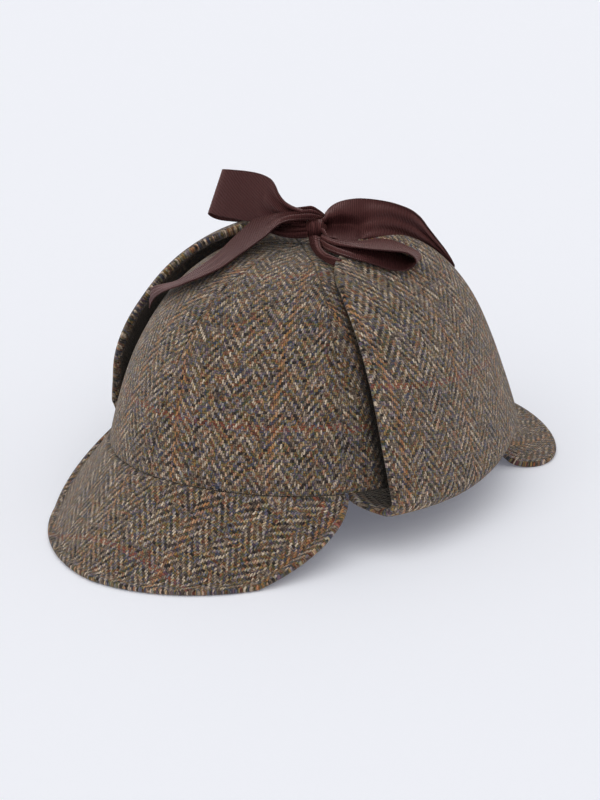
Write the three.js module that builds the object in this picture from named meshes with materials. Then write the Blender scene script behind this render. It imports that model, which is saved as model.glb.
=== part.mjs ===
// A deerstalker hat in herringbone tweed, standing on a flat surface.
// Millimetres, +Z up. The front of the hat faces -Y and the wearer's left is +X.
// The ear flaps are folded up and their ribbon ties are knotted in a bow on the crown.

import * as THREE from 'three';

// Driving dimensions.
const crown = {
  halfWidth: 85, // outside, at the lower edge
  halfLength: 110,
  squareness: 1.87, // exponent of the oval, 2 is an ellipse
  top: 125.5, // height of the crown above the surface
  edgeAtSide: 28.5, // height of the lower edge at the ears
  edgeAtFront: 39.5, // and at the front and the back
  startAngle: 25, // where the dome's curve starts, degrees from level
  fullness: 0.64, // below 1 the dome stays wide towards its top
  wall: 2.4,
};
const gap = 0.3; // left between pieces that touch
const nearZero = 1e-9; // stands in for zero in a division
const crownShift = -0.75; // puts the origin under the middle of the whole hat

const gore = { count: 6, first: -90, across: 8, up: 13, tipAt: 0.98, crowding: 1.6 };

const peak = {
  thickness: 3,
  tuckIn: 2.4, // the sewn edge goes this far in under the crown's wall
  across: 24,
  restFlat: 2.4, // width of each of the two flat strips at the edge
  sideCut: 0.9995, // keeps the sewn ends just off zero width
};
// layFrom: share of the full reach at which the edge comes down to the surface. sag: 1 is a
// straight slope, more than 1 one that hollows. roundness and corner shape the outline.
const peaks = {
  front: { facing: -90, halfSpan: 60, reach: 40.5, sag: 1, roundness: 1.5, corner: 0.64, layFrom: 0.68 },
  back: { facing: 90, halfSpan: 48.2, reach: 42, sag: 2.2, roundness: 6, corner: 0.2, layFrom: 0.6 },
};
const peakSlope = [0, 0.2, 0.4, 0.6, 0.8, 1]; // shares of the sloping part

const flap = { thickness: 3.6, across: 12, flareUpTo: 0.5 };
// The flap's section, from the sewn edge under the crown, out, round the fold and up to
// the tip. rise: 0 at the crown's lower edge, 1 at its top. stand: distance out from the
// crown. flare: how much further the front edge stands out. drop: distance below that height.
// front and back: where the flap's side edges lie, as angles round the crown, 0 being over
// the ear. The right flap's front edge is farFront.
const flapSection = [
  { rise: 0, stand: -2.4, flare: 0, drop: 2.1, front: -29.6, farFront: -29.6, back: 40.9 },
  { rise: 0, stand: 3, flare: 0, drop: 3.4, front: -28.6, farFront: -27, back: 40.8 },
  { rise: 0, stand: 8, flare: 0, drop: 5.4, front: -26, farFront: -23, back: 40.6 },
  { rise: 0, stand: 12, flare: 0, drop: 6.6, front: -23.4, farFront: -19.6, back: 40.6 },
  { rise: 0, stand: 14.6, flare: 0, drop: 5.2, front: -22.2, farFront: -18.2, back: 40.8 },
  { rise: 0, stand: 15.2, flare: 0.6, drop: 1.4, front: -21.8, farFront: -18.4, back: 41 },
  { rise: 0.06, stand: 13.8, flare: 1.6, drop: 0, front: -22.4, farFront: -19.6, back: 41.2 },
  { rise: 0.15, stand: 12.6, flare: 3.2, drop: 0, front: -23.4, farFront: -22.6, back: 41.2 },
  { rise: 0.26, stand: 12, flare: 2.6, drop: 0, front: -23.9, farFront: -25, back: 41 },
  { rise: 0.38, stand: 11, flare: 1.2, drop: 0, front: -24.4, farFront: -26, back: 40.8 },
  { rise: 0.5, stand: 9.2, flare: 0, drop: 0, front: -24.8, farFront: -26, back: 40.2 },
  { rise: 0.62, stand: 7.4, flare: 0, drop: 0, front: -25.4, farFront: -25.6, back: 39.2 },
  { rise: 0.73, stand: 6.6, flare: 0, drop: 0, front: -25.2, farFront: -24.6, back: 37.4 },
  { rise: 0.81, stand: 6.4, flare: 0, drop: 0, front: -19.6, farFront: -19.6, back: 31 },
  { rise: 0.865, stand: 6.2, flare: 0, drop: 0, front: -5, farFront: -5, back: 18 },
];

const ribbonThickness = 1.2;
const knot = { x: 7, y: 1, z: 137, along: 4.6, across: 6.6, high: 8 };
const tie = { wide: 19, narrow: 7, sag: 1.2, knotHeight: -4.6, toKnot: 4.2, tipCurve: 0.9, steps: 5 };

// Ribbons that lie over the crown or the flaps. x, y: middle of the ribbon. turn: direction
// across it, degrees from +X. wide: its width seen from above. near and far: how high its
// two edges stand above the crown, the near edge being the one that turn points to.
const tailLeft = [
  { x: 3.7, y: -4.5, turn: -35, wide: 4, near: 13, far: 15 },
  { x: -4.6, y: -12.4, turn: -35, wide: 9, near: 14.5, far: 18 },
  { x: -12.5, y: -19.5, turn: -30, wide: 15, near: 10.6, far: 14 },
  { x: -18.5, y: -28, turn: -25, wide: 20, near: 5, far: 8 },
  { x: -24, y: -37, turn: -32, wide: 22, near: 2.2, far: 3 },
  { x: -32, y: -45, turn: -60, wide: 18, near: 1.8, far: 3 },
  { x: -43, y: -46.4, turn: -92, wide: 14, near: 2.4, far: 4 },
  { x: -50.5, y: -43.6, turn: -108, wide: 11, near: 2.6, far: 4.6 },
  { x: -56.6, y: -40, turn: -118, wide: 9, near: 3, far: 4.8 },
  { x: -61, y: -36.6, turn: -128, wide: 8, near: 3.6, far: 4.8 },
  { x: -64.6, y: -32.4, turn: -136, wide: 8, near: 4, far: 4.6 },
];
const tailRight = [
  { x: 11.8, y: 3.8, turn: -50, wide: 5, near: 14.4, far: 15.6 },
  { x: 13.8, y: 10, turn: -50, wide: 9, near: 13, far: 19 },
  { x: 18, y: 17, turn: -50, wide: 11, near: 12.5, far: 21.6 },
  { x: 24.5, y: 24, turn: -50, wide: 12, near: 11.5, far: 22.4 },
  { x: 32, y: 31, turn: -50, wide: 12, near: 11, far: 22.4 },
  { x: 38.5, y: 37, turn: -50, wide: 12, near: 11.5, far: 21.4 },
  { x: 43.6, y: 41.6, turn: -50, wide: 12, near: 12, far: 18.6 },
  { x: 48.2, y: 45.6, turn: -50, wide: 12, near: 13, far: 16.6 },
  { x: 52.4, y: 49.4, turn: -50, wide: 12, near: 14, far: 15.4 },
  { x: 56, y: 52.6, turn: -50, wide: 12, near: 14.6, far: 14.8 },
];
const loopRight = [
  { x: 13.7, y: -1.2, turn: -60, wide: 6, near: 11.2, far: 11.2 },
  { x: 19.5, y: -2.4, turn: -60, wide: 14, near: 13.4, far: 13.6 },
  { x: 29, y: 0.6, turn: -54, wide: 21, near: 16, far: 16.6 },
  { x: 38, y: 7, turn: -50, wide: 23, near: 17, far: 17.6 },
  { x: 44.5, y: 14.4, turn: -50, wide: 23, near: 17.4, far: 17.6 },
  { x: 49, y: 20, turn: -50, wide: 23, near: 15, far: 15 },
  { x: 47, y: 17.6, turn: -50, wide: 23, near: 11.4, far: 11.2 },
  { x: 39, y: 7.6, turn: -50, wide: 23, near: 10.4, far: 10.2 },
  { x: 30, y: 1, turn: -54, wide: 20, near: 10, far: 9.8 },
  { x: 21, y: -2, turn: -60, wide: 12, near: 9.6, far: 9.6 },
  { x: 14.4, y: -1.4, turn: -60, wide: 6, near: 9.2, far: 9.2 },
];
// The upright loop. z: height of its middle. lean: tilt of its width off upright.
const loopLeft = [
  { x: 2.4, y: -0.4, z: 139.4, wide: 7, lean: 6 },
  { x: -3, y: -2.8, z: 140.2, wide: 8.4, lean: 12 },
  { x: -7.4, y: -5, z: 141, wide: 11, lean: 16 },
  { x: -12.4, y: -6.6, z: 142.6, wide: 17.4, lean: 20 },
  { x: -17.6, y: -7.6, z: 144.4, wide: 24, lean: 21 },
  { x: -23, y: -8, z: 144.8, wide: 26.4, lean: 20 },
  { x: -31, y: -8, z: 144.2, wide: 27, lean: 20 },
  { x: -40, y: -7.6, z: 143.5, wide: 27.2, lean: 21 },
  { x: -47.2, y: -6.2, z: 143, wide: 27.2, lean: 21 },
  { x: -50.2, y: -3.6, z: 142.8, wide: 26.8, lean: 21 },
  { x: -46.6, y: -0.6, z: 142.8, wide: 26, lean: 20 },
  { x: -34, y: 2, z: 143, wide: 25, lean: 18 },
  { x: -20, y: 3.8, z: 142.4, wide: 19, lean: 12 },
  { x: -8, y: 4, z: 140.6, wide: 12, lean: 8 },
  { x: 2.4, y: 2.6, z: 138.8, wide: 7, lean: 4 },
];

const radians = THREE.MathUtils.degToRad;
const startSine = Math.sin(radians(crown.startAngle));
const startCosine = Math.cos(radians(crown.startAngle));

// A point on the crown's oval, moved out by grow.
function ovalPoint(angle, grow) {
  const power = 2 / crown.squareness;
  const c = Math.cos(radians(angle));
  const s = Math.sin(radians(angle));
  const x = (crown.halfWidth + grow) * Math.sign(c) * Math.abs(c) ** power;
  const y = (crown.halfLength + grow) * Math.sign(s) * Math.abs(s) ** power;
  return new THREE.Vector2(x, y);
}

// Height of the crown's lower edge, which dips over the ears.
function edgeHeight(angle) {
  const towardsFront = Math.sin(radians(angle)) ** 2;
  return crown.edgeAtSide + (crown.edgeAtFront - crown.edgeAtSide) * towardsFront;
}

// A point on the dome: rise 0 is the lower edge, 1 the top.
function domePoint(angle, rise, grow) {
  const lift = radians(crown.startAngle + (90 - crown.startAngle) * rise);
  const share = (Math.max(0, Math.cos(lift)) / startCosine) ** crown.fullness;
  const height = (Math.sin(lift) - startSine) / (1 - startSine);
  const base = edgeHeight(angle);
  const oval = ovalPoint(angle, grow).multiplyScalar(share);
  return new THREE.Vector3(oval.x, oval.y, base + (crown.top + grow - base) * height);
}

// Height of the dome, moved out by grow, over a place seen from above.
function domeHeight(x, y, grow) {
  const across = (Math.abs(x) / (crown.halfWidth + grow)) ** crown.squareness;
  const along = (Math.abs(y) / (crown.halfLength + grow)) ** crown.squareness;
  const share = Math.min(1, (across + along) ** (1 / crown.squareness));
  const lift = Math.acos(startCosine * share ** (1 / crown.fullness));
  const height = (Math.sin(lift) - startSine) / (1 - startSine);
  const frontness = along / Math.max(across + along, nearZero);
  const base = crown.edgeAtSide + (crown.edgeAtFront - crown.edgeAtSide) * frontness;
  return base + (crown.top + grow - base) * height;
}

// A closed body between two grids of points, given as rows of equal length.
function closedShell(outer, inner) {
  const rows = outer.length;
  const columns = outer[0].length;
  const positions = [...outer.flat(), ...inner.flat()].flatMap((p) => [p.x, p.y, p.z]);
  const at = (side, row, column) => (side * rows + row) * columns + column;
  const faces = [];
  const quad = (a, b, c, d) => faces.push(a, b, c, a, c, d);
  for (let row = 0; row + 1 < rows; row += 1) {
    for (let column = 0; column + 1 < columns; column += 1) {
      const next = column + 1;
      quad(at(0, row, column), at(0, row, next), at(0, row + 1, next), at(0, row + 1, column));
      quad(at(1, row, next), at(1, row, column), at(1, row + 1, column), at(1, row + 1, next));
    }
    const last = columns - 1;
    quad(at(1, row, 0), at(0, row, 0), at(0, row + 1, 0), at(1, row + 1, 0));
    quad(at(0, row, last), at(1, row, last), at(1, row + 1, last), at(0, row + 1, last));
  }
  for (let column = 0; column + 1 < columns; column += 1) {
    const last = rows - 1;
    const next = column + 1;
    quad(at(0, 0, next), at(0, 0, column), at(1, 0, column), at(1, 0, next));
    quad(at(0, last, column), at(0, last, next), at(1, last, next), at(1, last, column));
  }
  if (enclosedVolume(positions, faces) < 0) {
    faces.reverse();
  }
  const geometry = new THREE.BufferGeometry();
  geometry.setAttribute('position', new THREE.Float32BufferAttribute(positions, 3));
  geometry.setIndex(faces);
  geometry.computeVertexNormals();
  return geometry;
}

function enclosedVolume(positions, faces) {
  const corner = (i) => new THREE.Vector3().fromArray(positions, faces[i] * 3);
  let volume = 0;
  for (let i = 0; i < faces.length; i += 3) {
    volume += corner(i).dot(corner(i + 1).cross(corner(i + 2))) / 6;
  }
  return volume;
}

// Gives a grid of points a thickness, half of it on each side.
function thickened(grid, thickness) {
  const rows = grid.length;
  const columns = grid[0].length;
  const shifted = (side) => grid.map((line, row) => line.map((point, column) => {
    const down = grid[Math.max(row - 1, 0)][column];
    const up = grid[Math.min(row + 1, rows - 1)][column];
    const left = line[Math.max(column - 1, 0)];
    const right = line[Math.min(column + 1, columns - 1)];
    const normal = up.clone().sub(down).cross(right.clone().sub(left)).normalize();
    return point.clone().addScaledVector(normal, side * thickness / 2);
  }));
  return [shifted(1), shifted(-1)];
}

// One panel of the crown, between two seams.
function makeGore(index) {
  const span = 360 / gore.count;
  const from = gore.first + span * index;
  const side = (grow) => {
    const rows = [];
    for (let row = 0; row <= gore.up; row += 1) {
      const rise = 1 - (1 - gore.tipAt * row / gore.up) ** gore.crowding;
      const width = domePoint(from + span / 2, rise, 0).setZ(0).length();
      const trim = THREE.MathUtils.radToDeg(gap / width);
      const line = [];
      for (let column = 0; column <= gore.across; column += 1) {
        const angle = from + trim + (span - 2 * trim) * column / gore.across;
        line.push(domePoint(angle, rise, grow));
      }
      rows.push(line);
    }
    return rows;
  };
  return closedShell(side(0), side(-crown.wall));
}

// A peak, from under the crown's edge down to the surface it rests on.
function makePeak({ facing, halfSpan, reach, sag, roundness, corner, layFrom }) {
  const half = peak.thickness / 2;
  const grid = [];
  for (let column = 0; column <= peak.across; column += 1) {
    const t = Math.sin(Math.PI / 2 * (2 * column / peak.across - 1)) * peak.sideCut;
    const angle = facing + halfSpan * t;
    const out = reach * (1 - Math.abs(t) ** roundness) ** corner;
    const root = edgeHeight(angle) - gap - half;
    const edge = half + root * Math.max(0, 1 - out / (layFrom * reach));
    const flat = Math.min(peak.restFlat, out / 4);
    const base = ovalPoint(angle, 0);
    const away = new THREE.Vector2(Math.cos(radians(angle)) / crown.halfWidth,
      Math.sin(radians(angle)) / crown.halfLength).normalize();
    const place = (distance, height) => {
      const p = base.clone().addScaledVector(away, distance);
      return new THREE.Vector3(p.x, p.y, height);
    };
    const slope = out - 2 * flat;
    const line = [place(-peak.tuckIn, root)];
    for (const share of peakSlope) {
      line.push(place(slope * share, edge + (root - edge) * (1 - share) ** sag));
    }
    line.push(place(slope + flat, edge), place(out, edge));
    grid.push(line);
  }
  const sides = thickened(grid, peak.thickness);
  for (const p of sides.flat(2)) {
    p.z = Math.max(0, p.z);
  }
  return closedShell(...sides);
}

// An ear flap: out from under the crown, round a fold and up against its side.
function makeFlap(side) {
  const grid = flapSection.map(({ rise, stand, flare, drop, front, farFront, back }) => {
    const start = side > 0 ? front : farFront;
    const line = [];
    for (let column = 0; column <= flap.across; column += 1) {
      const share = column / flap.across;
      const angle = start + (back - start) * share;
      const extra = flare * Math.max(0, 1 - share / flap.flareUpTo);
      const p = domePoint(angle, rise, stand + extra);
      line.push(new THREE.Vector3(p.x * side, p.y, p.z - drop));
    }
    return line;
  });
  return closedShell(...thickened(grid, flap.thickness));
}

// A ribbon through rows of edge points, rounded along its length.
function ribbonBody(edges, steps) {
  const nearEdge = new THREE.CatmullRomCurve3(edges.map((edge) => edge[0]));
  const farEdge = new THREE.CatmullRomCurve3(edges.map((edge) => edge[1]));
  const grid = [];
  for (let step = 0; step <= steps; step += 1) {
    const near = nearEdge.getPoint(step / steps);
    const far = farEdge.getPoint(step / steps);
    grid.push([near, near.clone().lerp(far, 0.5), far]);
  }
  return closedShell(...thickened(grid, ribbonThickness));
}

function makeLyingRibbon(table, steps) {
  const edges = table.map(({ x, y, turn, wide, near, far }) => {
    const dx = Math.cos(radians(turn)) * wide / 2;
    const dy = Math.sin(radians(turn)) * wide / 2;
    return [new THREE.Vector3(x + dx, y + dy, domeHeight(x + dx, y + dy, near)),
      new THREE.Vector3(x - dx, y - dy, domeHeight(x - dx, y - dy, far))];
  });
  return ribbonBody(edges, steps);
}

function makeUprightRibbon(table, steps) {
  const edges = table.map(({ x, y, z, wide, lean }) => {
    const across = new THREE.Vector3(Math.sin(radians(lean)), 0, Math.cos(radians(lean)));
    const middle = new THREE.Vector3(x, y, z);
    return [middle.clone().addScaledVector(across, wide / 2),
      middle.clone().addScaledVector(across, -wide / 2)];
  });
  return ribbonBody(edges, steps);
}

// The tie between a flap's tip and the knot.
function makeTie(side) {
  const { rise, stand, front, back } = flapSection[flapSection.length - 1];
  const tip = domePoint((front + back) / 2, rise, stand);
  const clear = gap + ribbonThickness / 2 + tie.tipCurve;
  const start = new THREE.Vector3(side * (tip.x - clear), tip.y, tip.z);
  const end = new THREE.Vector3(knot.x + side * tie.toKnot, knot.y, knot.z + tie.knotHeight);
  const edges = [];
  for (let step = 0; step < tie.steps; step += 1) {
    const share = step / (tie.steps - 1);
    const middle = start.clone().lerp(end, share);
    middle.z -= tie.sag * Math.sin(Math.PI * share);
    const half = THREE.MathUtils.lerp(tie.wide, tie.narrow, share) / 2;
    edges.push([middle.clone().setY(middle.y - half), middle.clone().setY(middle.y + half)]);
  }
  return ribbonBody(edges, tie.steps);
}

function makeKnot() {
  const geometry = new THREE.SphereGeometry(1, 12, 8);
  geometry.scale(knot.along, knot.across, knot.high);
  geometry.translate(knot.x, knot.y, knot.z);
  return geometry;
}

const tweed = { color: 0x5d5145, roughness: 0.95, metalness: 0 };
const ribbon = { color: 0x3b2523, roughness: 0.7, metalness: 0 };

const hat = new THREE.Group();
hat.position.y = crownShift;

function addPiece(name, geometry, finish) {
  const mesh = new THREE.Mesh(geometry, new THREE.MeshStandardMaterial(finish));
  mesh.name = name;
  hat.add(mesh);
}

const goreNames = ['front_left', 'left', 'back_left', 'back_right', 'right', 'front_right'];
goreNames.forEach((name, index) => {
  addPiece(`crown_panel_${name}`, makeGore(index), tweed);
});
addPiece('front_peak', makePeak(peaks.front), tweed);
addPiece('back_peak', makePeak(peaks.back), tweed);
addPiece('ear_flap_left', makeFlap(1), tweed);
addPiece('ear_flap_right', makeFlap(-1), tweed);
addPiece('flap_tie_left', makeTie(1), ribbon);
addPiece('flap_tie_right', makeTie(-1), ribbon);
addPiece('bow_knot', makeKnot(), ribbon);
addPiece('bow_loop_left', makeUprightRibbon(loopLeft, 24), ribbon);
addPiece('bow_loop_right', makeLyingRibbon(loopRight, 24), ribbon);
addPiece('bow_tail_left', makeLyingRibbon(tailLeft, 20), ribbon);
addPiece('bow_tail_right', makeLyingRibbon(tailRight, 18), ribbon);

export default hat;
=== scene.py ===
import math

import bpy
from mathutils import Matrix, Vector, noise


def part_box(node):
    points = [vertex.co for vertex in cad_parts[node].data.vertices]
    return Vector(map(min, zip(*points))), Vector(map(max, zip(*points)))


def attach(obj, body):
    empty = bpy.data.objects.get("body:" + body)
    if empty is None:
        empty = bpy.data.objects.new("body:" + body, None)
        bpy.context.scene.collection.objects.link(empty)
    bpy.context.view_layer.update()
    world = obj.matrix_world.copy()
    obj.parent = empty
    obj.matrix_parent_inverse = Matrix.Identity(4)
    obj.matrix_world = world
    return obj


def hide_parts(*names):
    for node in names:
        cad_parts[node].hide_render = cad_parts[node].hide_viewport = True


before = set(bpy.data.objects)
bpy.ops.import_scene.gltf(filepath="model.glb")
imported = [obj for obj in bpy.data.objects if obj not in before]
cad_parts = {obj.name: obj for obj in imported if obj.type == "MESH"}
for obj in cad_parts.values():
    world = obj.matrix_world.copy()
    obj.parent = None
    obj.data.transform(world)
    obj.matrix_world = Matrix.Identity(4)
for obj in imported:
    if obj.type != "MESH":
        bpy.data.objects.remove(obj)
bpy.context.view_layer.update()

# A deerstalker hat in herringbone tweed. Lengths are in millimetres until toFrame turns them into metres.
mm = 0.001
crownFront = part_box("crown_panel_front_left")[0].y / mm
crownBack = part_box("crown_panel_back_left")[1].y / mm
shiftY = (crownFront + crownBack) / 2  # the crown's middle in the frame

crown = {
    "halfWidth": 85,
    "halfLength": (crownBack - crownFront) / 2,
    "squareness": 1.87,  # exponent of the oval
    "top": 125.5,
    "edgeAtSide": 28.5,  # height of the lower edge at the ears
    "edgeAtFront": 39.5,
    "startAngle": 25,
    "fullness": 0.64,
    "wall": 2.3,
    "panels": 6,
    "firstSeam": -90,
    "across": 44,
    "up": 56,
    "tipAt": 0.9995,
    "crowding": 1.6,
    "seamRoll": 1.5,  # the cloth turns in along its seams
    "rollDepth": 0.8,  # by this share of the roll
    "edgeRoll": 0.012,  # share of the rise in which the lower edge turns in
    "edgeSteps": 4,
    "seamGap": 0.01,
    "seamShare": 0.125,  # most of a narrow panel that the gap takes
    "tipWidth": 0.2,
    "ripple": 0.35,  # height of the cloth's unevenness
    "rippleScale": 0.035,
    "rippleFade": 8,  # it fades out this near to a seam
    "clothShift": (30.8, 48),  # where the check's lines fall
}


def toFrame(x, y, z):
    return Vector((x * mm, (y + shiftY) * mm, z * mm))


def power(value, exponent):
    return math.copysign(abs(value) ** exponent, value)


startSine = math.sin(math.radians(crown["startAngle"]))
startCosine = math.cos(math.radians(crown["startAngle"]))


def ovalPoint(angle, grow=0):
    exponent = 2 / crown["squareness"]
    turn = math.radians(angle)
    return (
        (crown["halfWidth"] + grow) * power(math.cos(turn), exponent),
        (crown["halfLength"] + grow) * power(math.sin(turn), exponent),
    )


def edgeHeight(angle):
    towardsFront = math.sin(math.radians(angle)) ** 2
    return crown["edgeAtSide"] + (crown["edgeAtFront"] - crown["edgeAtSide"]) * towardsFront


def domePoint(angle, rise, grow=0):  # rise 0 is the crown's lower edge, 1 its top
    lift = math.radians(crown["startAngle"] + (90 - crown["startAngle"]) * rise)
    share = (max(0, math.cos(lift)) / startCosine) ** crown["fullness"]
    height = (math.sin(lift) - startSine) / (1 - startSine)
    base = edgeHeight(angle)
    x, y = ovalPoint(angle, grow)
    return Vector((x * share, y * share, base + (crown["top"] + grow - base) * height))


def domePlace(x, y, z):  # the angle and the rise of a point on the dome
    exponent = crown["squareness"] / 2
    along, across = power(y / crown["halfLength"], exponent), power(x / crown["halfWidth"], exponent)
    angle = math.degrees(math.atan2(along, across))
    base = edgeHeight(angle)
    height = min(1, max(0, (z - base) / (crown["top"] - base)))
    lift = math.asin(min(1, startSine + (1 - startSine) * height))
    return angle, (math.degrees(lift) - crown["startAngle"]) / (90 - crown["startAngle"])


def blendRows(rows, share):  # a smooth curve through rows of equal tuples
    place = min(max(share, 0), 1) * (len(rows) - 1)
    index = min(int(place), len(rows) - 2)
    t = place - index
    before, start, end, after = (rows[min(max(index + step, 0), len(rows) - 1)] for step in (-1, 0, 1, 2))
    mixed = []
    for a, b, c, d in zip(before, start, end, after):
        slopeIn, slopeOut = (c - a) / 2, (d - b) / 2
        mixed.append(
            (2 * t**3 - 3 * t**2 + 1) * b
            + (t**3 - 2 * t**2 + t) * slopeIn
            + (3 * t**2 - 2 * t**3) * c
            + (t**3 - t**2) * slopeOut
        )
    return mixed


def edgeLines(count, width, rim, steps=4):  # distances from one edge to the other, close together at both
    rim = min(rim, width * 0.25)
    near = [rim * (1 - math.cos(math.pi / 2 * step / steps)) for step in range(steps)]
    middle = [rim + (width - 2 * rim) * step / (count - 2 * steps) for step in range(count - 2 * steps + 1)]
    return near + middle + [width - distance for distance in reversed(near)]


def addCloth(name, across, along, place, wall, offset=-1, flip=False, thin=None, flatten=None, even=True):
    bpy.ops.object.select_all(action="DESELECT")
    bpy.ops.mesh.primitive_grid_add(x_subdivisions=across, y_subdivisions=along, size=1)
    piece = bpy.context.object
    piece.name = name
    mesh = piece.data
    mesh.name = name
    cells = {}
    for vertex in mesh.vertices:
        cells[vertex.index] = (round((vertex.co.x + 0.5) * across), round((vertex.co.y + 0.5) * along))
    points = [[place(column, row) for column in range(across + 1)] for row in range(along + 1)]
    for vertex in mesh.vertices:
        column, row = cells[vertex.index]
        vertex.co = toFrame(*points[row][column])
    cloth = mesh.uv_layers[0]
    cloth.name = "cloth"
    flat = (flatten or flatCloth)(points)
    for loop in mesh.loops:
        column, row = cells[loop.vertex_index]
        u, v = flat[row][column]
        cloth.data[loop.index].uv = (u * mm, v * mm)
    if flip:
        bpy.ops.object.mode_set(mode="EDIT")
        bpy.ops.mesh.select_all(action="SELECT")
        bpy.ops.mesh.flip_normals()
        bpy.ops.object.mode_set(mode="OBJECT")
    bpy.ops.object.modifier_add(type="SOLIDIFY")
    solid = piece.modifiers[-1]
    solid.thickness = wall * mm
    solid.offset = offset
    solid.use_even_offset = even
    if thin:
        group = piece.vertex_groups.new(name="thickness")
        for index, cell in cells.items():
            group.add([index], thin(*cell), "REPLACE")
        solid.vertex_group = "thickness"
    bpy.ops.object.modifier_apply(modifier=solid.name)
    piece.vertex_groups.clear()
    bpy.ops.object.shade_smooth()
    return piece


def flatCloth(points):  # flat places of the rows and columns, measured from the middle column
    middle = len(points[0]) // 2
    flat = []
    along = 0
    for row, line in enumerate(points):
        if row:
            along += (line[middle] - points[row - 1][middle]).length
        places = [0.0] * len(line)
        for column in range(middle + 1, len(line)):
            places[column] = places[column - 1] + (line[column] - line[column - 1]).length
        for column in range(middle - 1, -1, -1):
            places[column] = places[column + 1] - (line[column] - line[column + 1]).length
        flat.append([(u, along) for u in places])
    return flat


def turned(flatten, degrees, shift):  # the same cloth, cut at an angle and from another place
    cosine, sine = math.cos(math.radians(degrees)), math.sin(math.radians(degrees))

    def turn(u, v):
        return u * cosine - v * sine + shift[0], u * sine + v * cosine + shift[1]

    def flat(points):
        return [[turn(u, v) for u, v in line] for line in flatten(points)]

    return flat


leastThickness = 0.04  # share of the full thickness that is left at an edge


def roundedEdge(distance, rim):  # share of the full thickness near an edge
    if distance >= rim:
        return 1.0
    return max(leastThickness, math.sqrt(max(0, 1 - (1 - distance / rim) ** 2)))


def easeIn(value):
    value = min(1, max(0, value))
    return value * value * (3 - 2 * value)


def dress(piece, material, slot, *nodes):
    piece.data.materials.clear()
    piece.data.materials.append(material)
    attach(piece, "root")
    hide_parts(*nodes)


# Camera.
view = {
    "azimuth": 40.29,
    "elevation": 22.47,
    "distance": 1157.2,
    "aimAcross": -0.32,
    "aimHeight": 43.1,
    "lens": 104.0,
    "sensor": 36.0,
}


def viewAxes():  # to the right, up and away from the camera
    turn, tilt = math.radians(view["azimuth"]), math.radians(view["elevation"])
    right = Vector((math.cos(turn), math.sin(turn), 0))
    forward = Vector((-math.sin(turn) * math.cos(tilt), math.cos(turn) * math.cos(tilt), -math.sin(tilt)))
    return right, right.cross(forward), forward


def addCamera():
    right, _, forward = viewAxes()
    aim = right * view["aimAcross"] + Vector((0, shiftY, view["aimHeight"]))
    data = bpy.data.cameras.new("camera")
    data.lens = view["lens"]
    data.sensor_fit = "VERTICAL"
    data.sensor_height = view["sensor"]
    camera = bpy.data.objects.new("camera", data)
    camera.location = (aim - forward * view["distance"]) * mm
    camera.rotation_euler = forward.to_track_quat("-Z", "Y").to_euler()
    bpy.context.scene.collection.objects.link(camera)
    bpy.context.scene.camera = camera


addCamera()
print("camera placed")


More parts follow.
